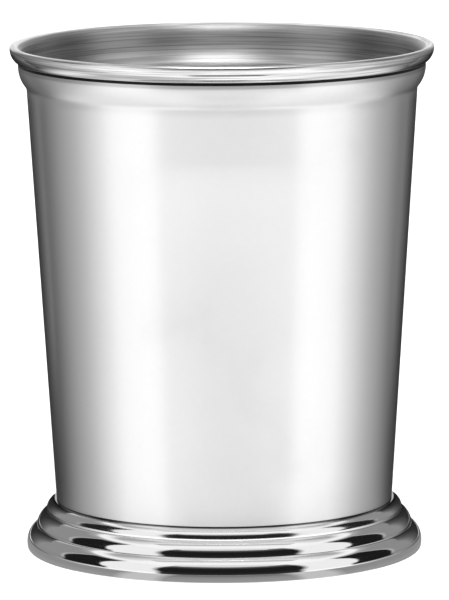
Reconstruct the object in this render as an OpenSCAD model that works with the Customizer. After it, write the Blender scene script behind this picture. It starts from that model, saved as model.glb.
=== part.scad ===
// Julep cup: a tapered sheet-metal tumbler with a stepped-out collar, a half-round wire
// dressed into its lip, a let-in floor, and a hollow foot of three swelling rings.
// Millimetres, +Z up, the origin at the middle of the face that the cup stands on.
// Every piece is one profile turned about the cup's axis.

/* [Cup] */
// Height from the standing edge to the top of the lip
cup_h = 105; // [85:1:130]
// Outside radius of the wall where it enters the foot
waist_r = 34.8; // [31:0.1:37]
// Outside radius of the wall at the foot of the shoulder
shoulder_r = 40.25; // [38.5:0.05:44]
// Thickness of the wall's sheet
wall_t = 0.8; // [0.5:0.05:1.2]

/* [Collar] */
// How far the collar stands out from the wall below it
collar_out = 1.7; // [1:0.05:2.4]
// Height of the rounded shoulder that carries the wall out to the collar
shoulder_h = 4.3; // [3:0.1:6]
// Height of the collar's straight part, up to the lip wire
collar_h = 0.8; // [0.4:0.1:3]
// Radius of the crease between the wall and the shoulder
crease_r = 1.5; // [0.8:0.1:2.4]

/* [Lip] */
// Height of the lip wire
lip_h = 3.6; // [3:0.05:4.4]
// How far the lip wire stands out from the collar
lip_out = 1.7; // [1.3:0.05:2.2]
// Radius of the wire's outer face
lip_face_r = 3.3; // [2.8:0.05:3.6]
// Radius of the lip's top edge
lip_top_r = 0.6; // [0.5:0.05:0.8]
// Radius that flares the mouth out to the lip's top edge
lip_flare_r = 2; // [1.8:0.05:2.8]

/* [Foot] */
// Thickness of the foot's sheet
foot_t = 0.6; // [0.4:0.05:0.7]
// How far the top ring stands out from the wall
top_ring_out = 2.1; // [1.9:0.05:2.3]
// Height of the top ring
top_ring_h = 2.4; // [2.2:0.05:2.8]
// Rise of the top ring's curve above its chord
top_ring_bulge = 0.7; // [0.4:0.02:0.7]
// How far the middle ring stands out from the top one
mid_ring_out = 2.05; // [1.6:0.05:2.6]
// Height of the middle ring
mid_ring_h = 3.05; // [2.6:0.05:4]
// Rise of the middle ring's curve above its chord
mid_ring_bulge = 0.5; // [0.2:0.02:0.6]
// How far the bottom ring stands out from the middle one
low_ring_out = 1.95; // [1.5:0.05:2.4]
// Height of the bottom ring
low_ring_h = 2.55; // [2.2:0.05:3.2]
// Rise of the bottom ring's curve above its chord
low_ring_bulge = 0.38; // [0.16:0.02:0.4]
// Height of the band under the bottom ring
band_h = 2.4; // [2.2:0.05:3]
// Rise of the band's curve above its chord
band_bulge = 0.08; // [0.02:0.02:0.12]
// Radius of the band's lower outside edge
edge_r = 0.6; // [0.4:0.05:0.8]
// Height of the turned-in hem that the cup stands on
hem_h = 1.4; // [1.2:0.05:1.6]
// Thickness of the turned-in hem
hem_t = 1.4; // [1.2:0.05:2]
// Radius of the hem's inside edge
hem_edge_r = 0.3; // [0.2:0.05:0.35]

/* [Floor and sole] */
// Height of the sole ring's underside above the standing edge
sole_rise = 0.5; // [0.4:0.05:0.6]
// Width of the sole ring inside the wall's end
sole_reach = 2.4; // [1:0.1:6]
// Thickness of the floor's sheet
floor_t = 0.8; // [0.5:0.05:1.2]
// Depth of the floor's turned-down flange, top face included
flange_h = 2.6; // [2:0.1:6]
// Outside radius of the bend between floor and flange
floor_bend_r = 1; // [0.6:0.1:1.4]

/* [Hidden] */
// Flats in each rounded stretch of a profile, and round the axis
arc_steps = 14;
$fn = 240;

// Foot heights, counted up from the standing edge, and the radius at each
low_ring_z = band_h;
mid_ring_z = low_ring_z + low_ring_h;
top_ring_z = mid_ring_z + mid_ring_h;
foot_h = top_ring_z + top_ring_h;
top_ring_r = waist_r + top_ring_out;
mid_ring_r = top_ring_r + mid_ring_out;
foot_r = mid_ring_r + low_ring_out;
hem_r = foot_r - hem_t;

// Heights at the mouth, counted down from the top of the lip
lip_z = cup_h - lip_h;
collar_z = lip_z - collar_h;
shoulder_z = collar_z - shoulder_h;
collar_r = shoulder_r + collar_out;
mouth_r = collar_r - wall_t;
// Growth of the wall's radius with height, and length of its slope over one unit of height
lean = (shoulder_r - waist_r) / (shoulder_z - foot_h);
skew = norm([lean, 1]);
// The shoulder's arc leaves the collar upright, and the crease's arc brings it into the wall
shoulder_arc_r = (collar_out * collar_out + shoulder_h * shoulder_h) / (2 * collar_out);
shoulder_centre = [collar_r - shoulder_arc_r, collar_z];
crease_reach = wall_r(collar_z, -crease_r) - shoulder_centre.x;
crease_fall = (crease_reach * lean + drop((shoulder_arc_r + crease_r) * skew, crease_reach)) / (skew * skew);
crease_centre = [wall_r(collar_z - crease_fall, -crease_r), collar_z - crease_fall];
crease_turn = heading(crease_centre, shoulder_centre);

// The lip's three arcs: face, top edge and flare, each running smoothly into the next
face_centre = [collar_r + lip_out - lip_face_r, lip_z + sqrt(lip_out * (2 * lip_face_r - lip_out))];
top_centre = across(face_centre, lip_face_r - lip_top_r, cup_h - lip_top_r, 1);
flare_centre = [
  mouth_r + lip_flare_r,
  top_centre.y - drop(lip_flare_r - lip_top_r, mouth_r + lip_flare_r - top_centre.x)
];
face_turn = heading(face_centre, top_centre);
flare_turn = heading(flare_centre, top_centre);
face_end = heading(face_centre, [collar_r, lip_z]);

// The sole ring's top is level with the hem's, and the wall and the floor stand on it
sole_top = hem_h;
wall_foot_r = wall_r(sole_top);
sole_bore_r = wall_r(sole_top, wall_t) - sole_reach;
floor_top = sole_top + flange_h;

// Radius of the tapered wall at a height, cut back square to its face by a thickness
function wall_r(z, inset = 0) = waist_r + lean * (z - foot_h) - inset * skew;

// Points round an arc, from one angle to another
function arc(centre, radius, from, to) = [
  for (i = [0:arc_steps])
    let (a = from + (to - from) * i / arc_steps)
    centre + radius * [cos(a), sin(a)]
];

// Angle at which one point sees another
function heading(from, to) = atan2(to.y - from.y, to.x - from.x);

// Upright leg of a right triangle
function drop(long, flat) = sqrt(long * long - flat * flat);

// Point at a height, at a distance from a centre, on the outer or inner side
function across(centre, distance, z, side) = [
  centre.x + side * drop(distance, z - centre.y),
  z
];

// Arc that swells from an upper point out to a lower one, cut back by a sheet's thickness
function swell(upper, lower, bulge, inset) =
  let (
    chord = norm(lower - upper),
    radius = chord * chord / (8 * bulge) + bulge / 2,
    out = [upper.y - lower.y, lower.x - upper.x] / chord,
    centre = (upper + lower) / 2 + out * (bulge - radius)
  )
  arc(centre, radius - inset, heading(centre, upper), heading(centre, lower));

// The three rings from the top down, cut back by a sheet's thickness
function rings(inset) =
  let (
    upper = [top_ring_r, top_ring_z],
    middle = [mid_ring_r, mid_ring_z]
  )
  concat(
    swell([waist_r, foot_h], upper, top_ring_bulge, inset),
    swell(upper, middle, mid_ring_bulge, inset),
    swell(middle, [foot_r, low_ring_z], low_ring_bulge, inset)
  );

// The same points in the opposite order
function reversed(points) = [for (i = [1:len(points)]) points[len(points) - i]];

// Wall, crease, shoulder and collar as one filled profile, cut back by a sheet's thickness
module wall_outline(inset) {
  polygon(concat(
    [[0, sole_top], [wall_r(sole_top, inset), sole_top]],
    arc(crease_centre, crease_r + inset, 180 - atan(lean), crease_turn),
    arc(shoulder_centre, shoulder_arc_r - inset, crease_turn - 180, 0),
    [[collar_r - inset, lip_z], [0, lip_z]]
  ));
}

// Whole lip in section: the wall's flared edge and the wire outside it
module lip_outline() {
  polygon(concat(
    [[mouth_r, lip_z], [collar_r, lip_z]],
    arc(face_centre, lip_face_r, face_end, face_turn),
    arc(top_centre, lip_top_r, face_turn, flare_turn),
    arc(flare_centre, lip_flare_r, flare_turn, 180)
  ));
}

// Foot in section: rings, band and hem in one sheet
module foot_outline() {
  polygon(concat(
    [[waist_r - foot_t, foot_h]],
    rings(0),
    swell([foot_r, low_ring_z], [foot_r, edge_r], band_bulge, 0),
    arc([foot_r - edge_r, edge_r], edge_r, 0, -90),
    arc([hem_r + hem_edge_r, hem_edge_r], hem_edge_r, 270, 180),
    [[hem_r, hem_h], [foot_r - foot_t, hem_h]],
    reversed(rings(foot_t)),
    [[waist_r - foot_t, foot_h - foot_t]]
  ));
}

// Tapered wall with its shoulder, collar and flared upper edge
module cup_wall() {
  color("silver")
    rotate_extrude() {
      difference() {
        wall_outline(0);
        wall_outline(wall_t);
      }
      intersection() {
        lip_outline();
        square([collar_r, cup_h]);
      }
    }
}

// Let-in floor: a shallow tray with its flange turned down inside the wall
module cup_floor() {
  bend_z = floor_top - floor_bend_r;
  bend_r = wall_r(bend_z, wall_t);
  flange_r = wall_r(sole_top, wall_t);
  color("gainsboro")
    rotate_extrude()
      polygon(concat(
        [[0, floor_top - floor_t], [bend_r - floor_t, floor_top - floor_t]],
        [[flange_r - floor_t, sole_top], [flange_r, sole_top]],
        arc([bend_r - floor_bend_r, bend_z], floor_bend_r, 0, 90),
        [[0, floor_top]]
      ));
}

// Half-round wire brazed round the collar and dressed into the lip
module lip_wire() {
  color("whitesmoke")
    rotate_extrude()
      difference() {
        lip_outline();
        square([collar_r, cup_h]);
      }
}

// Hollow foot of three swelling rings over a plain band with a turned-in hem
module foot_ring() {
  color("lightgray")
    rotate_extrude()
      difference() {
        foot_outline();
        wall_outline(0);
      }
}

// Flat ring that closes the hollow foot from below and carries the wall's end
module sole_ring() {
  color("darkgray")
    rotate_extrude()
      translate([sole_bore_r, sole_rise])
        square([hem_r - sole_bore_r, sole_top - sole_rise]);
}

cup_wall();
cup_floor();
lip_wire();
foot_ring();
sole_ring();
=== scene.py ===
# %% [markdown]
# # A julep cup in satin and polished metal
#
# The cup is a tapered tumbler of sheet metal. Its wall is satin, its lip and its foot are polished like a
# mirror. Everything on it was turned or spun on a lathe, so each piece here is a profile turned about the
# cup's axis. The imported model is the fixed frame: it gives the size and place of every piece.

# %% Load the frame
import math

import bpy
import bmesh
from mathutils import Matrix, Vector


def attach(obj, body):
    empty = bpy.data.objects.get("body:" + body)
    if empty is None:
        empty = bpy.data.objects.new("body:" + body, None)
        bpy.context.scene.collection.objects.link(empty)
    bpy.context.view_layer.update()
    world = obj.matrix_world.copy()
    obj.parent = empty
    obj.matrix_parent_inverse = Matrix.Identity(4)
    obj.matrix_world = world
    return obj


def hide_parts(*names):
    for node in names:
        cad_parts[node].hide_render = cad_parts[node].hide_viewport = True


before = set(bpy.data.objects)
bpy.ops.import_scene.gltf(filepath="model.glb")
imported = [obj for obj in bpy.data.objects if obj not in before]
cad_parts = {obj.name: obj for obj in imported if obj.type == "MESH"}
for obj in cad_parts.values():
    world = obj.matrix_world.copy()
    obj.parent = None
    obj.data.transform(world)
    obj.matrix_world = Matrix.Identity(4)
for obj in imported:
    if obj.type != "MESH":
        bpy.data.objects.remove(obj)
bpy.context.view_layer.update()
MM = 0.001
scene = bpy.context.scene
print("CAD nodes:", sorted(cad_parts))

# %% [markdown]
# ## The camera
#
# The photograph was taken with a long lens from a little above the rim, which is why the mouth is such a thin
# ellipse. The ellipses of the rim and of the foot give the angle of view, and the way the one flattens
# against the other gives the distance. The camera is set there from given numbers, so that nothing is left to
# chance.
# A very small roll follows the slight lean of the cup in the picture.

# %% Camera
VIEW_DOWN = math.radians(8.565)
VIEW_DISTANCE = 1.2414
VIEW_ROLL = math.radians(-0.3)
AIM = Vector((0.00028, 0, 0.05169))
LENS = 360.0

eye = bpy.data.objects.new("studio_camera", bpy.data.cameras.new("studio_camera"))
scene.collection.objects.link(eye)
eye.data.sensor_fit = "VERTICAL"
eye.data.sensor_height = 36
eye.data.lens = LENS
eye.data.clip_start, eye.data.clip_end = 0.05, 50
towards = Vector((0, math.cos(VIEW_DOWN), -math.sin(VIEW_DOWN)))
eye.matrix_world = (
    Matrix.Translation(AIM - towards * VIEW_DISTANCE)
    @ towards.to_track_quat("-Z", "Y").to_matrix().to_4x4()
    @ Matrix.Rotation(VIEW_ROLL, 4, "Z")
)
scene.camera = eye
scene.view_settings.view_transform = "Standard"
print("camera at", [round(v, 4) for v in eye.location], "lens", LENS)

# %% [markdown]
# ## Shader maths as plain expressions
#
# A finish is a short sum over the surface: marks that run round the cup, smudges, a wavy polish. Wiring each
# sum by hand hides it, so one small class stands for a socket, and the usual signs add the Math nodes.
# Every other kind of node comes from its one node method.


# %% A socket that can be added and multiplied
class Value:
    def __init__(self, tree, socket):
        self.tree, self.socket = tree, socket

    def node(self, kind, settings=None, out=0, **sockets):
        """Adds a node. A socket goes by its name, or by n and its number."""
        made = self.tree.nodes.new(kind)
        for name, value in (settings or {}).items():
            if name == "stops":
                ramp = made.color_ramp.elements
                while len(ramp) < len(value):
                    ramp.new(1.0)
                for stop, (place, grey) in zip(ramp, value):
                    stop.position, stop.color = place, (grey, grey, grey, 1)
            else:
                setattr(made, name, value)
        for name, value in sockets.items():
            key = int(name[1:]) if name[0] == "n" and name[1:].isdigit() else name.replace("_", " ")
            if isinstance(value, Value):
                self.tree.links.new(value.socket, made.inputs[key])
            else:
                made.inputs[key].default_value = value
        return Value(self.tree, made.outputs[out]) if made.outputs else None

    def maths(self, operation, *others):
        values = {f"n{i}": v for i, v in enumerate((self, *others))}
        return self.node("ShaderNodeMath", {"operation": operation}, **values)

    def swapped(self, operation, first):
        return self.node("ShaderNodeMath", {"operation": operation}, n0=first, n1=self)

    def __add__(self, other):
        return self.maths("ADD", other)

    def __sub__(self, other):
        return self.maths("SUBTRACT", other)

    def __mul__(self, other):
        return self.maths("MULTIPLY", other)

    def __truediv__(self, other):
        return self.maths("DIVIDE", other)

    def __radd__(self, other):
        return self.swapped("ADD", other)

    def __rsub__(self, other):
        return self.swapped("SUBTRACT", other)

    def __rmul__(self, other):
        return self.swapped("MULTIPLY", other)

    def rise(self, start, end):
        """0 below start, 1 above end, and a smooth slope between them."""
        smooth = {"interpolation_type": "SMOOTHSTEP"}
        return self.node("ShaderNodeMapRange", smooth, Value=self, From_Min=start, From_Max=end)

    def curve(self, stops):
        """A grey value that follows the stops, each a place from 0 to 1 and a grey."""
        return self.node("ShaderNodeValToRGB", {"stops": stops}, Fac=self)

    def band(self, low, high, soft):
        """1 from low to high, fading to 0 within the soft distance on both sides."""
        return self.rise(low - soft, low) * (1 - self.rise(high, high + soft))

    def between(self, low, high):
        """low where this is 0, high where it is 1."""
        return self.node("ShaderNodeMix", {"data_type": "FLOAT"}, n0=self, n2=low, n3=high)


# %% [markdown]
# ## The studio
#
# Polished metal has no colour of its own: it shows the room. So the room is the most important material of
# all. In the photograph the foot tells what stood round the cup: a tall white softbox on each side of the
# camera, a narrow black flag beyond each of them, dark between the softboxes up to a light overhead, and a
# pale sweep underneath, with white behind the cup. Real lamps and boards could be placed, but every one of
# them would also be a thing that other views could see. The same room is written here as a world that
# depends only on direction.
#
# Two numbers give a direction: its bearing, counted from the camera's side either way, and its height in
# degrees. A curve along the bearing gives the grey at one height, and smooth steps in height lead from one
# curve to the next.

# %% Bearing and height
world = bpy.data.worlds.new("studio")
scene.world = world
world.use_nodes = True
room = world.node_tree
room.nodes.clear()
start = Value(room, None)


def parts_of(tree, vector):
    """The three parts of a vector, each as a value."""
    split = tree.node("ShaderNodeSeparateXYZ", Vector=vector)
    return [Value(tree.tree, part) for part in split.socket.node.outputs]


across, along, up = parts_of(start, start.node("ShaderNodeTexCoord"))
HALF_TURN = 180
ROOM_TURN = math.radians(3.5)
bearing = (across.maths("ARCTAN2", along * -1) - ROOM_TURN).maths("ABSOLUTE") / math.pi
height = up.maths("ARCSINE") * (HALF_TURN / math.pi)


def round_the_room(*stops, by=bearing):
    """Brightness along the bearing: each stop is an angle in degrees and a grey."""
    return by.curve([(angle / HALF_TURN, grey) for angle, grey in stops])


print("the room is turned by", round(math.degrees(ROOM_TURN), 1), "degrees")

# %% [markdown]
# ## Below the horizon
#
# The wall widens as it rises, so it looks down at the sweep. The sweep is white in front and falls away to
# dark behind the cup, and that draws the edges of the wall. Close to the cup it is light all round, which
# the shoulder and the underside of the lip show. Less than 30 degrees below the horizon it lies in a pool of
# light that makes it a fifth brighter than white paper. A grey line across it in front is the long dark line
# that runs along the lip.

# %% Sweep
SWEEP_FLOOR, POOL_LIGHT, LINE_DEPTH = 0.85, 0.22, 0.72
sweep = round_the_room(
    (0, 1.0), (34, 1.02), (52, 0.99), (74, 0.92), (87, 0.77), (101, 0.49), (119, 0.26), (130, 0.15),
    (142, 0.055), (155, 0.025), (180, 0.025),
)
near_sweep = height.rise(-44, -26).between(sweep.maths("MAXIMUM", SWEEP_FLOOR), sweep)
pool = height.rise(-75, -50).between(1.1, 1.0) + POOL_LIGHT * height.rise(-34, -22)
line_bearing = round_the_room((0, 1), (22, 1), (28, 0), (180, 0))
line = height.band(-48, -42, 4) * line_bearing
below = near_sweep * pool * (1 - LINE_DEPTH * line)
print("studio nodes:", len(room.nodes))

# %% [markdown]
# ## Above the horizon
#
# The foot's rings swell, so each of them shows the whole height of the room in three millimetres: the
# overhead light on its top, the dark in front or a softbox at the side, and the sweep at its lower edge. In
# the mirror of a ring the softbox's own edge is curved, so here it bows into the flag beside it. High up in
# front is the key light, several times brighter than white paper, which shines through the mouth on to the
# back of the inside. Straight overhead the light is weaker, except above the softboxes.

# %% Walls, ceiling and key light
BOW, BOW_HEIGHT, GLIMMER, KEY_LIGHT = 5, 20, 0.16, 6.0
low_walls = round_the_room(
    (0, 0.02), (40, 0.02), (45, 0.9), (74, 0.9), (77, 0.01), (109, 0.01), (112, 0.25), (150, 0.25),
    (162, 0.95), (180, 0.95),
)
from_middle = (height - BOW_HEIGHT) / BOW_HEIGHT
bow = (1 - from_middle.maths("POWER", 2.0)).maths("MAXIMUM", 0.0) * (BOW / HALF_TURN)
high_walls = round_the_room(
    (0, 0.01), (38, 0.01), (43, 0.9), (76, 0.9), (78, 0.01), (107, 0.01), (109, 0.5), (112, 0.27),
    (150, 0.27), (162, 0.95), (180, 0.95), by=bearing - bow,
)
front = round_the_room((0, 1.0), (40, 1.0), (46, 0.0), (180, 0.0))
glimmer = height.rise(28, 46) * GLIMMER * front
walls = height.rise(0, 8).between(low_walls, high_walls) + glimmer
ceiling = round_the_room(
    (0, 1.0), (70, 1.0), (80, 0.8), (105, 0.6), (115, 0.4), (150, 0.42), (165, 0.95), (180, 0.95),
)
ceiling_edge = height.rise(45, 48) * (1 - height.rise(50, 56))
zenith = round_the_room((0, 0.75), (38, 0.75), (46, 0.95), (72, 0.95), (80, 0.75), (180, 0.75))
overhead = height.rise(60, 85).between(ceiling_edge.between(ceiling, 0.95), zenith)
key_bearing = round_the_room((0, 1.0), (23, 1.0), (39, 0.2), (45, 0.0), (180, 0.0))
key = height.band(58, 72, 6) * key_bearing
above = height.rise(40, 47).between(walls, overhead) + key * KEY_LIGHT
print("studio nodes:", len(room.nodes))

# %% [markdown]
# ## Who sees what
#
# The camera looks straight at white paper: that is a strength of 1. Light that has gone through glass sees
# the same. The metal sees the studio instead: its dark things, its whites, and its key light. Anything dull
# is lit by one soft, even light. In front the room's dark part reaches a few degrees below the horizon, into
# the far end of the sweep.

# %% Rays
SOFT_LIGHT, WHITE, DARK_REACH = 0.8, 1.0, 3.5
HORIZON_LOW, HORIZON_HIGH = -4.5, -1
around = (height + DARK_REACH * front).rise(HORIZON_LOW, HORIZON_HIGH).between(below, above)
rays = start.node("ShaderNodeLightPath").socket.node.outputs
camera_ray, glossy_ray, clear_ray = (
    Value(room, rays[name]) for name in ("Is Camera Ray", "Is Glossy Ray", "Is Transmission Ray")
)
backdrop = camera_ray.maths("MAXIMUM", glossy_ray).maths("MAXIMUM", clear_ray)
light = backdrop.between(SOFT_LIGHT, glossy_ray.between(WHITE, around))
tone = start.node("ShaderNodeCombineColor", Red=light, Green=light, Blue=light)
start.node("ShaderNodeOutputWorld", Surface=start.node("ShaderNodeBackground", Color=tone, Strength=1.0))
print("studio nodes:", len(room.nodes))

# %% [markdown]
# ## Things close to the cup
#
# A world without distances can't show what stands close to the cup, because such a thing looks different
# from the wall, the foot and the lip. A few flat cards do that here. Only the metal's reflections see them.
# They belong to the stage, so they are no part of the cup.


# %% Stage helpers
def staged(name, mesh, place=(0, 0, 0), upright=False, only_reflected=True):
    """Turns a bmesh into a thing of the studio."""
    data = bpy.data.meshes.new(name)
    mesh.to_mesh(data)
    mesh.free()
    made = bpy.data.objects.new(name, data)
    scene.collection.objects.link(made)
    made.location = place
    made.rotation_euler.x = math.radians(90) if upright else 0
    if only_reflected:
        made.visible_camera = made.visible_diffuse = made.visible_shadow = False
    print("staged", name, "at", [round(v, 4) for v in place])
    return made


def card(name, width, length, place, upright=False):
    mesh = bmesh.new()
    bmesh.ops.create_grid(mesh, x_segments=1, y_segments=1, size=0.5)
    bmesh.ops.scale(mesh, verts=mesh.verts[:], vec=(width, length, 1))
    return staged(name, mesh, place, upright)


def new_finish(name):
    finish = bpy.data.materials.new(name)
    finish.use_nodes = True
    finish.node_tree.nodes.clear()
    return finish, Value(finish.node_tree, None)


def glow_of(tree, grey):
    """Light of a grey that may change from place to place."""
    tone = tree.node("ShaderNodeCombineColor", Red=grey, Green=grey, Blue=grey)
    return tree.node("ShaderNodeEmission", Color=tone)


def clear_where(tree, mask, surface):
    """The surface where the mask is 0, and nothing at all where it is 1."""
    nothing = tree.node("ShaderNodeBsdfTransparent", Color=(1, 1, 1, 1))
    return tree.node("ShaderNodeMixShader", n0=mask, n1=surface, n2=nothing)


def dress(piece, finish, tree, surface):
    tree.node("ShaderNodeOutputMaterial", Surface=surface)
    piece.data.materials.append(finish)


# %% [markdown]
# ## The side flags
#
# Behind the cup, to the left and to the right, stands a dark cloth as tall as the wall. It draws the last
# millimetres of the wall's edges, and it fades outwards, so that the ends of the rings stay grey.

# %% Side flags
FLAG_WIDTH, FLAG_FOOT, FLAG_TOP, FLAG_OUT, FLAG_BACK = 0.12, 0.0005, 0.1, 0.11, 0.14
flag_fade = [(0, 0.01), (0.35 * FLAG_WIDTH, 0.03), (0.7 * FLAG_WIDTH, 0.11), (FLAG_WIDTH, 0.26)]
for side, hand in ((-1, "left"), (1, "right")):
    flag_place = (side * FLAG_OUT, FLAG_BACK, (FLAG_FOOT + FLAG_TOP) / 2)
    flag = card(f"{hand}_flag", FLAG_WIDTH, FLAG_TOP - FLAG_FOOT, flag_place, upright=True)
    finish, tree = new_finish(f"{hand}_flag_cloth")
    sideways, _, _ = parts_of(tree, tree.node("ShaderNodeTexCoord", out=3))
    dress(flag, finish, tree, glow_of(tree, (sideways * side + FLAG_WIDTH / 2).curve(flag_fade)))

# %% [markdown]
# ## The card over the foot
#
# The key light would burn out on the tops of the rings. A card in front of the wall, above the foot, keeps
# it from them, and shows them a softer light. From above it is clear, so that the lip and the shoulder look
# through it.

# %% Card over the foot
OVER_FOOT_Z, OVER_FOOT_NEAR, OVER_FOOT_FAR, OVER_FOOT_WIDTH = 0.085, 0.045, 0.12, 0.11
over_foot_length = OVER_FOOT_FAR - OVER_FOOT_NEAR
over_foot_place = (0, -(OVER_FOOT_NEAR + OVER_FOOT_FAR) / 2, OVER_FOOT_Z)
over_foot = card("over_foot", OVER_FOOT_WIDTH, over_foot_length, over_foot_place)
finish, tree = new_finish("over_foot_cloth")
_, deep, _ = parts_of(tree, tree.node("ShaderNodeTexCoord", out=3))
# The curve counts decimetres from the card's edge next to the cup
DECIMETRES = 10
from_cup = (over_foot_length / 2 - deep) * DECIMETRES
over_foot_grey = from_cup.curve(
    [(0, 0.42), (0.05, 0.42), (0.12, 0.7), (0.2, 0.95), (0.4, 0.95), (0.55, 0.75), (1, 0.6)]
)
from_above = 1 - tree.node("ShaderNodeNewGeometry", out=6)
dress(over_foot, finish, tree, clear_where(tree, from_above, glow_of(tree, over_foot_grey)))

# %% [markdown]
# ## The shade round the foot
#
# The foot shades the sweep close to it. In the band at the bottom that shade is a gradient, dark at the top
# and light at the lower edge, and the softboxes lighten it on both sides. A flat ring on the floor holds
# it. It ends within two centimetres, so that the wall hardly shows it.

# %% Shade round the foot
SHADE_R, FOOT_REACH, SHADE_Z, SHADE_FADE = 0.06, 0.0405, 0.0002, 0.84
shade_mesh = bmesh.new()
bmesh.ops.create_circle(shade_mesh, cap_ends=False, segments=96, radius=SHADE_R)
grown = bmesh.ops.extrude_edge_only(shade_mesh, edges=shade_mesh.edges[:])["geom"]
inner_edge = [v for v in grown if isinstance(v, bmesh.types.BMVert)]
bmesh.ops.scale(shade_mesh, verts=inner_edge, vec=(FOOT_REACH / SHADE_R, FOOT_REACH / SHADE_R, 1))
foot_shade = staged("foot_shade", shade_mesh, (0, 0, SHADE_Z))
finish, tree = new_finish("painted_foot_shadow")
spot = tree.node("ShaderNodeTexCoord", out=3)
away = tree.node("ShaderNodeVectorMath", {"operation": "LENGTH"}, out=1, n0=spot)
floor_x, floor_y, _ = parts_of(tree, spot)
floor_bearing = (floor_x.maths("ARCTAN2", floor_y * -1) - ROOM_TURN / 2).maths("ABSOLUTE") / math.pi
# This curve counts decimetres from the foot
front_grey = ((away - FOOT_REACH) * DECIMETRES).curve(
    [(0, 0.33), (0.03, 0.27), (0.085, 0.145), (0.15, 0.08), (0.3, 0.04), (1, 0.03)]
)
side_grey = round_the_room(
    (0, 0), (15, 0), (23, 0.55), (32, 0.55), (37, 0.27), (180, 0.27), by=floor_bearing
)
# The ring's grey is a painted shadow of the foot on the floor, seen only in reflections, lighter at the sides
# as painted softbox light
shade_glow = glow_of(tree, front_grey.maths("MAXIMUM", side_grey))
dress(foot_shade, finish, tree, clear_where(tree, away.rise(SHADE_FADE * SHADE_R, SHADE_R), shade_glow))

# %% [markdown]
# ## The floor
#
# The cup stands on a pale sweep that runs into the white behind it. One large disc does that. It catches
# the cup's soft contact shadow, and its own glow, which only the camera sees, lifts it to white. The metal
# takes the sweep's reflection from the world, so the disc stays out of the reflections. From below it is
# clear, so that the underside of the cup can be looked at.

# %% Floor
FLOOR_R, FLOOR_GLOW = 8, 0.62
sweep_mesh = bmesh.new()
bmesh.ops.create_circle(sweep_mesh, cap_ends=True, segments=96, radius=FLOOR_R)
studio_floor = staged("studio_floor", sweep_mesh, only_reflected=False)
studio_floor.visible_glossy = False
finish, tree = new_finish("pale_sweep")
paper = tree.node("ShaderNodeBsdfDiffuse", Color=(0.9, 0.9, 0.9, 1), Roughness=1.0)
glow = tree.node("ShaderNodeEmission", Color=(1, 1, 1, 1), Strength=FLOOR_GLOW)
lit_paper = tree.node("ShaderNodeAddShader", n0=paper, n1=glow)
camera_sees = tree.node("ShaderNodeLightPath", out=0)
floor_front = tree.node("ShaderNodeMixShader", n0=camera_sees, n1=paper, n2=lit_paper)
from_below = tree.node("ShaderNodeNewGeometry", out=6)
dress(studio_floor, finish, tree, clear_where(tree, from_below, floor_front))

# %% [markdown]
# ## The cup's sizes
#
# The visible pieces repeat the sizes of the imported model, in millimetres. The arcs of the lip and of the foot
# are worked out from them in the same way, so that the smooth pieces lie on the solid ones to a hair.

# %% Sizes and the geometry of the arcs
CUP_H, WAIST_R, SHOULDER_R, WALL_T = 105, 34.8, 40.25, 0.8
COLLAR_OUT, SHOULDER_H, COLLAR_H, CREASE_R = 1.7, 4.3, 0.8, 1.5
LIP_H, LIP_OUT, LIP_FACE_R, LIP_TOP_R, LIP_FLARE_R = 3.6, 1.7, 3.3, 0.6, 2.0
FOOT_T = 0.6
TOP_RING_OUT, TOP_RING_H, TOP_RING_BULGE = 2.1, 2.4, 0.7
MID_RING_OUT, MID_RING_H, MID_RING_BULGE = 2.05, 3.05, 0.5
LOW_RING_OUT, LOW_RING_H, LOW_RING_BULGE = 1.95, 2.55, 0.38
BAND_H, BAND_BULGE, EDGE_R, HEM_H, HEM_T, HEM_EDGE_R = 2.4, 0.08, 0.6, 1.4, 1.4, 0.3
FLOOR_T, FLANGE_H, FLOOR_BEND_R = 0.8, 2.6, 1.0

FOOT_H = BAND_H + LOW_RING_H + MID_RING_H + TOP_RING_H
LIP_Z = CUP_H - LIP_H
COLLAR_Z = LIP_Z - COLLAR_H
SHOULDER_Z = COLLAR_Z - SHOULDER_H
COLLAR_R = SHOULDER_R + COLLAR_OUT
MOUTH_R = COLLAR_R - WALL_T
LEAN = (SHOULDER_R - WAIST_R) / (SHOULDER_Z - FOOT_H)
SKEW = math.hypot(LEAN, 1)


def point(r, z):
    return Vector((r, z))


def drop(long, flat):
    """Upright leg of a right triangle."""
    return math.sqrt(long * long - flat * flat)


def heading(a, b):
    """Angle in degrees at which a sees b."""
    return math.degrees(math.atan2(b.y - a.y, b.x - a.x))


def at(centre, radius, angle):
    return centre + radius * point(math.cos(math.radians(angle)), math.sin(math.radians(angle)))


def swell(upper, lower, bulge):
    """Centre and radius of the arc that swells out between two points."""
    chord = (lower - upper).length
    radius = chord * chord / (8 * bulge) + bulge / 2
    out = point(upper.y - lower.y, lower.x - upper.x) / chord
    return (upper + lower) / 2 + out * (bulge - radius), radius


def wall_r(z, inset=0.0):
    """Radius of the tapered wall, cut back square to its face."""
    return WAIST_R + LEAN * (z - FOOT_H) - inset * SKEW


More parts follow.
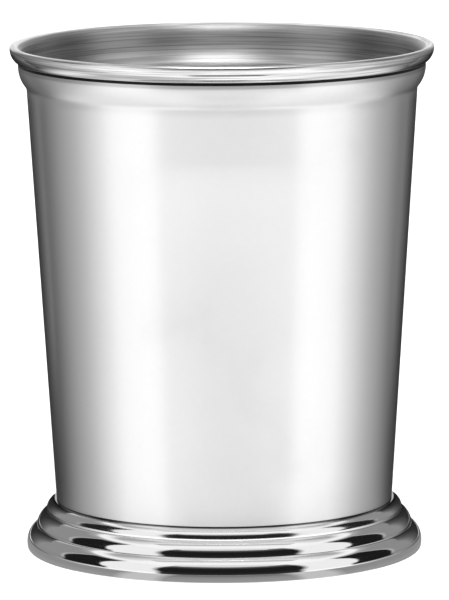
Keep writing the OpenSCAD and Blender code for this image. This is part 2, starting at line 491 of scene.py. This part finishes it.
shoulder_arc_r = (COLLAR_OUT**2 + SHOULDER_H**2) / (2 * COLLAR_OUT)
shoulder_c = point(COLLAR_R - shoulder_arc_r, COLLAR_Z)
reach = wall_r(COLLAR_Z, -CREASE_R) - shoulder_c.x
fall = (reach * LEAN + drop((shoulder_arc_r + CREASE_R) * SKEW, reach)) / SKEW**2
crease_c = point(wall_r(COLLAR_Z - fall, -CREASE_R), COLLAR_Z - fall)
crease_turn = heading(crease_c, shoulder_c)
crease_start = 180 - math.degrees(math.atan(LEAN))
face_c = point(COLLAR_R + LIP_OUT - LIP_FACE_R, LIP_Z + math.sqrt(LIP_OUT * (2 * LIP_FACE_R - LIP_OUT)))
top_z = CUP_H - LIP_TOP_R
top_c = point(face_c.x + drop(LIP_FACE_R - LIP_TOP_R, top_z - face_c.y), top_z)
flare_c = point(MOUTH_R + LIP_FLARE_R, top_z - drop(LIP_FLARE_R - LIP_TOP_R, MOUTH_R + LIP_FLARE_R - top_c.x))
wire_turn = 180 - math.degrees(math.acos((flare_c.x - COLLAR_R) / LIP_FLARE_R))
print("lip arcs:", face_c, top_c, flare_c, "shoulder radius", round(shoulder_arc_r, 3))

# %% [markdown]
# ## Turning on the lathe
#
# A lathe needs only a profile. Here a profile is drawn like a path with a pencil: a point, straight lines,
# and arcs about a centre. An arc is itself made by spinning its first point, so it is truly round. Closing
# the path and spinning it about the cup's axis makes the piece. Edges that turn by more than 15 degrees
# are marked sharp, so that the crevices stay crisp while the curves reflect smoothly.


# %% Profile and lathe
TURNS, SHARP_TURN = 320, math.radians(15)


class Profile:
    def __init__(self, r, z):
        self.mesh = bmesh.new()
        self.tip = bmesh.ops.create_vert(self.mesh, co=(r * MM, 0, z * MM))["vert"][0]
        self.first = self.tip

    def line(self, r, z):
        new = bmesh.ops.extrude_vert_indiv(self.mesh, verts=[self.tip])["verts"][0]
        bmesh.ops.translate(self.mesh, verts=[new], vec=Vector((r * MM, 0, z * MM)) - new.co)
        self.tip = new
        return self

    def arc(self, centre, degrees, fineness=3.0):
        steps = max(2, math.ceil(abs(degrees) / fineness))
        grown = bmesh.ops.spin(
            self.mesh, geom=[self.tip], cent=(centre.x * MM, 0, centre.y * MM), axis=(0, -1, 0),
            angle=math.radians(degrees), steps=steps,
        )
        self.tip = [g for g in grown["geom_last"] if isinstance(g, bmesh.types.BMVert)][0]
        return self

    def turned(self, name, closed=True):
        if closed:
            self.mesh.edges.new((self.tip, self.first))
        bmesh.ops.spin(
            self.mesh, geom=self.mesh.verts[:] + self.mesh.edges[:], cent=(0, 0, 0), axis=(0, 0, 1),
            angle=math.tau, steps=TURNS, use_merge=True,
        )
        bmesh.ops.remove_doubles(self.mesh, verts=self.mesh.verts[:], dist=1e-7)
        bmesh.ops.dissolve_degenerate(self.mesh, edges=self.mesh.edges[:], dist=1e-8)
        bmesh.ops.recalc_face_normals(self.mesh, faces=self.mesh.faces[:])
        for face in self.mesh.faces:
            face.smooth = True
        for edge in self.mesh.edges:
            edge.smooth = edge.calc_face_angle(0) < SHARP_TURN
        data = bpy.data.meshes.new(name)
        self.mesh.to_mesh(data)
        piece = bpy.data.objects.new(name, data)
        scene.collection.objects.link(piece)
        size = [round(v / MM, 2) for v in piece.dimensions]
        open_edges = sum(1 for edge in self.mesh.edges if not edge.is_manifold)
        print(name, "faces", len(data.polygons), "size", size, "open edges", open_edges)
        self.mesh.free()
        return piece


def stands_for(piece, node):
    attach(piece, "root")
    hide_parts(node)


# %% [markdown]
# ## The wall
#
# The wall is spun from one sheet. It rises straight and widening, swings out through a rounded shoulder into
# a short collar, and flares inside the mouth. Its profile goes up the inside, over the edge, and down the
# outside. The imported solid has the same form, but in flats, which a polished inside would show.

# %% Wall
wall_foot_r = wall_r(HEM_H)
crease_in = at(crease_c, CREASE_R + WALL_T, crease_start)
wall = Profile(wall_r(HEM_H, WALL_T), HEM_H).line(crease_in.x, crease_in.y)
wall.arc(crease_c, crease_turn - crease_start).arc(shoulder_c, 180 - crease_turn)
wall.line(MOUTH_R, flare_c.y).arc(flare_c, wire_turn - 180)
wall.line(COLLAR_R, LIP_Z).line(COLLAR_R, COLLAR_Z)
wall.arc(shoulder_c, crease_turn - 180).arc(crease_c, crease_start - crease_turn).line(wall_foot_r, HEM_H)
satin_wall = wall.turned("satin_wall")
stands_for(satin_wall, "cup_wall")

# %% [markdown]
# ## The lip
#
# A half-round wire is brazed round the collar. Its face curves out and under, so that a dark crevice is left
# between it and the collar, and it is dressed into the flared edge so that the lip feels like one piece.

# %% Lip
rim = at(flare_c, LIP_FLARE_R, wire_turn)
lip = Profile(COLLAR_R, LIP_Z).line(rim.x, rim.y)
lip.arc(flare_c, heading(flare_c, top_c) - wire_turn, 2)
lip.arc(top_c, heading(face_c, top_c) - heading(flare_c, top_c), 3)
lip.arc(face_c, heading(face_c, point(COLLAR_R, LIP_Z)) - heading(face_c, top_c), 2)
bright_lip = lip.turned("bright_lip", closed=False)
stands_for(bright_lip, "lip_wire")

# %% [markdown]
# ## The floor of the cup
#
# The bottom is let in: a disc whose edge is turned down inside the wall. Only its upper face and the small
# bend round it can be seen, deep inside the cup.

# %% Let-in floor
floor_top = HEM_H + FLANGE_H
bend_z = floor_top - FLOOR_BEND_R
bend_r = wall_r(bend_z, WALL_T)
flange_r = wall_r(HEM_H, WALL_T)
tray = Profile(0, floor_top - FLOOR_T).line(bend_r - FLOOR_T, floor_top - FLOOR_T)
tray.line(flange_r - FLOOR_T, HEM_H).line(flange_r, HEM_H).line(bend_r, bend_z)
tray.arc(point(bend_r - FLOOR_BEND_R, bend_z), 90, 6).line(0, floor_top)
inner_floor = tray.turned("inner_floor", closed=False)
stands_for(inner_floor, "cup_floor")

# %% [markdown]
# ## The foot
#
# The foot is a hollow moulding of thin sheet. Each ring swells by its own arc and breaks sharply at the next.
# The lowest one runs into a band that swells by less than a tenth of a millimetre, whose edge is rolled under
# into a hem. That hair's breadth is enough to shade the floor's reflection.

# %% Foot
foot_r = WAIST_R + TOP_RING_OUT + MID_RING_OUT + LOW_RING_OUT
top_at = point(WAIST_R, FOOT_H)
notch_1 = top_at + point(TOP_RING_OUT, -TOP_RING_H)
notch_2 = notch_1 + point(MID_RING_OUT, -MID_RING_H)
band_at = point(foot_r, BAND_H)
band_foot = point(foot_r, EDGE_R)
rings = [
    (*swell(top_at, notch_1, TOP_RING_BULGE), top_at, notch_1),
    (*swell(notch_1, notch_2, MID_RING_BULGE), notch_1, notch_2),
    (*swell(notch_2, band_at, LOW_RING_BULGE), notch_2, band_at),
]
band_c, _ = swell(band_at, band_foot, BAND_BULGE)
foot = Profile(top_at.x, top_at.y)
for centre, _, begin, end in rings:
    foot.arc(centre, heading(centre, end) - heading(centre, begin), 2)
foot.arc(band_c, heading(band_c, band_foot) - heading(band_c, band_at), 1)
foot.arc(band_foot - point(EDGE_R, 0), -90, 5)
hem_r = foot_r - HEM_T
foot.line(hem_r + HEM_EDGE_R, 0).arc(point(hem_r + HEM_EDGE_R, HEM_EDGE_R), -90, 10)
foot.line(hem_r, HEM_H).line(foot_r - FOOT_T, HEM_H)
for centre, radius, begin, end in reversed(rings):
    inner_start = at(centre, radius - FOOT_T, heading(centre, end))
    foot.line(inner_start.x, inner_start.y)
    foot.arc(centre, min(heading(centre, begin), 85) - heading(centre, end), 4)
foot.line(wall_r(FOOT_H - FOOT_T), FOOT_H - FOOT_T)
mirror_foot = foot.turned("mirror_foot")
stands_for(mirror_foot, "foot_ring")

# %% [markdown]
# ## The sole
#
# A flat ring closes the foot from below. The CAD solid is already exact, because it has no curve in its
# profile but its own round edges, so it stays, and only its finish is changed.

# %% Sole ring
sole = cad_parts["sole_ring"]
print("sole ring stays as packed:", [round(v / MM, 2) for v in sole.dimensions])

# %% [markdown]
# ## Finishes
#
# All the metal is the same, so the finishes differ mostly in how smooth they are. Satin has fine marks that
# blur the room into soft bands. Polish keeps it sharp, but a hand-held buff leaves it a little wavy.
#
# One function makes them all. Most of its words are a metalworker's:
#
# - rough is the dullness, and spread how much it changes from place to place
# - grain is how much more the turning marks blur the room upwards than sideways
# - marks is the depth of those marks, and waves and wave_size are those of the buffing
# - drawn is how dark the long lines are that run round the cup
# - the darkened bands are painted shade in crevices and painted reflections of dark lines, and dull lists bands
#   with a duller polish. Both give the lowest and the highest millimetre, how softly the band ends, and how
#   strong it is


# %% Metal
MARKS_SIZE, LINES_SIZE = (60, 60, 5200), (45, 45, 2600)
SMUDGE_SIZE, FINE_SIZE, SMUDGE_DEPTH, FINE_DEPTH = 38.0, 900.0, 0.05, 0.03
STREAK_SHARE, ACROSS_THE_MARKS = 0.6, 0.25


def metal(name, tint, rough, marks, waves, wave_size, spread=0.0, grain=0.0, painted_darkening=(), dull=(), drawn=0.0):
    """Bare metal with the marks that the lathe and the buff left on it, and with painted shade and painted
    reflections darkening its colour in the listed bands.
    """
    finish, tree = new_finish(name)
    place = tree.node("ShaderNodeTexCoord", out=3)
    around_cup = tree.node("ShaderNodeMapping", Vector=place, Scale=MARKS_SIZE)
    streaks = tree.node("ShaderNodeTexNoise", Vector=around_cup, Scale=1.0, Detail=3.0, Roughness=0.6)
    smudge = tree.node("ShaderNodeTexNoise", Vector=place, Scale=SMUDGE_SIZE, Detail=4.0, Roughness=0.55)
    fine = tree.node("ShaderNodeTexNoise", Vector=place, Scale=FINE_SIZE, Detail=2.0, Roughness=0.5)
    wave = tree.node("ShaderNodeTexNoise", Vector=place, Scale=wave_size, Detail=1.0, Roughness=0.4)
    up = tree.node("ShaderNodeSeparateXYZ", out=2, Vector=place) / MM
    roughness = rough * (1 + spread * (smudge - 0.5) + spread * STREAK_SHARE * (streaks - 0.5))
    for low, high, soft, more in dull:
        roughness = roughness + more * up.band(low, high, soft)
    long_marks = tree.node("ShaderNodeMapping", Vector=place, Scale=LINES_SIZE)
    lines = tree.node("ShaderNodeTexNoise", Vector=long_marks, Scale=1.0, Detail=2.0, Roughness=0.6)
    bright = 1 - SMUDGE_DEPTH * smudge.rise(0.55, 0.8) - FINE_DEPTH * (fine - 0.5)
    bright = bright - drawn * lines.rise(0.4, 0.65)
    # Painted shade in crevices and painted reflections of dark lines: the colour is darker in the given height
    # bands
    for low, high, soft, depth in painted_darkening:
        bright = bright * (1 - depth * up.band(low, high, soft))
    colour = tree.node(
        "ShaderNodeMix", {"data_type": "RGBA", "blend_type": "MULTIPLY"}, out=2,
        n0=1.0, n6=tint, n7=tree.node("ShaderNodeCombineColor", Red=bright, Green=bright, Blue=bright),
    )
    relief = marks * (streaks - 0.5) + waves * (wave - 0.5)
    bump = tree.node("ShaderNodeBump", Height=relief, Strength=1.0, Distance=1.0)
    shader = tree.node(
        "ShaderNodeBsdfPrincipled", Base_Color=colour, Metallic=1.0, Roughness=roughness, Normal=bump,
        Anisotropic=grain, Anisotropic_Rotation=ACROSS_THE_MARKS,
    )
    tree.node("ShaderNodeOutputMaterial", Surface=shader)
    return finish


silver = (0.94, 0.94, 0.935, 1)
# Depths of the marks and of the buffing are in metres, like the mesh
# Painted shade: the crevice under the lip and the joint of the wall with the foot are darkened in colour
shade_under_lip = (LIP_Z - 0.38, LIP_Z + 0.12, 0.12, 0.97)
shade_at_foot = (FOOT_H - 0.02, FOOT_H + 0.12, 0.05, 0.85)
# On the satin wall, painted shade under the lip, a painted shadow on the collar below it, and painted shade at
# the foot
satin = metal(
    "satin_metal", silver, 0.29, 0.000001, 0.00004, 40, spread=0.2, grain=0.8,
    painted_darkening=(shade_under_lip, (LIP_Z - 0.9, LIP_Z - 0.3, 0.5, 0.3), shade_at_foot), dull=((95.5, 101.0, 1.5, 0.06),),
)
# Heights of three dark lines inside the mouth, painted reflections of the rim's moulding
painted_reflection_lines = (102.05, 100.4, 99.55)
# The inside is the same sheet as the outside; its darker tint is painted shade
inside = metal(
    "shaded_turned_inside", (0.7, 0.7, 0.695, 1), 0.45, 0.00001, 0.00004, 60, spread=0.3, grain=0.82, drawn=0.28,
    painted_darkening=[(z - 0.04, z + 0.04, 0.08, 0.3) for z in painted_reflection_lines], dull=((99.5, 106.0, 1.0, 0.06),),
)
# On the foot, painted shade where it meets the wall and in the notches between its rings
polish = metal(
    "polished_metal", silver, 0.06, 0.000001, 0.00006, 90, spread=0.5,
    painted_darkening=(
        (FOOT_H - 0.12, FOOT_H + 0.1, 0.05, 0.8), (notch_1.y - 0.03, notch_1.y + 0.05, 0.04, 0.4),
        (notch_2.y - 0.03, notch_2.y + 0.05, 0.04, 0.6),
    ),
    dull=((notch_1.y, FOOT_H - 0.6, 0.2, 0.06),),
)
# On the lip's lower edge, painted shade in the crevice over the collar
lip_polish = metal(
    "lip_metal", silver, 0.1, 0.000002, 0.00008, 90, spread=0.6, painted_darkening=(shade_under_lip,), drawn=0.45,
    dull=((face_c.y - 0.3, CUP_H + 1, 0.4, 0.22),),
)
turned = metal("turned_metal", (0.92, 0.92, 0.915, 1), 0.22, 0.000008, 0.00004, 60, spread=0.4)
for piece, finish in (
    (satin_wall, satin), (bright_lip, lip_polish), (mirror_foot, polish), (inner_floor, turned),
    (sole, turned),
):
    piece.data.materials.clear()
    piece.data.materials.append(finish)
# The faces that look at the axis are the inside of the wall
satin_wall.data.materials.append(inside)
for face in satin_wall.data.polygons:
    face.material_index = int(face.normal.xy.dot(face.center.xy) < 0)
print("finishes:", [m.name for m in bpy.data.materials])
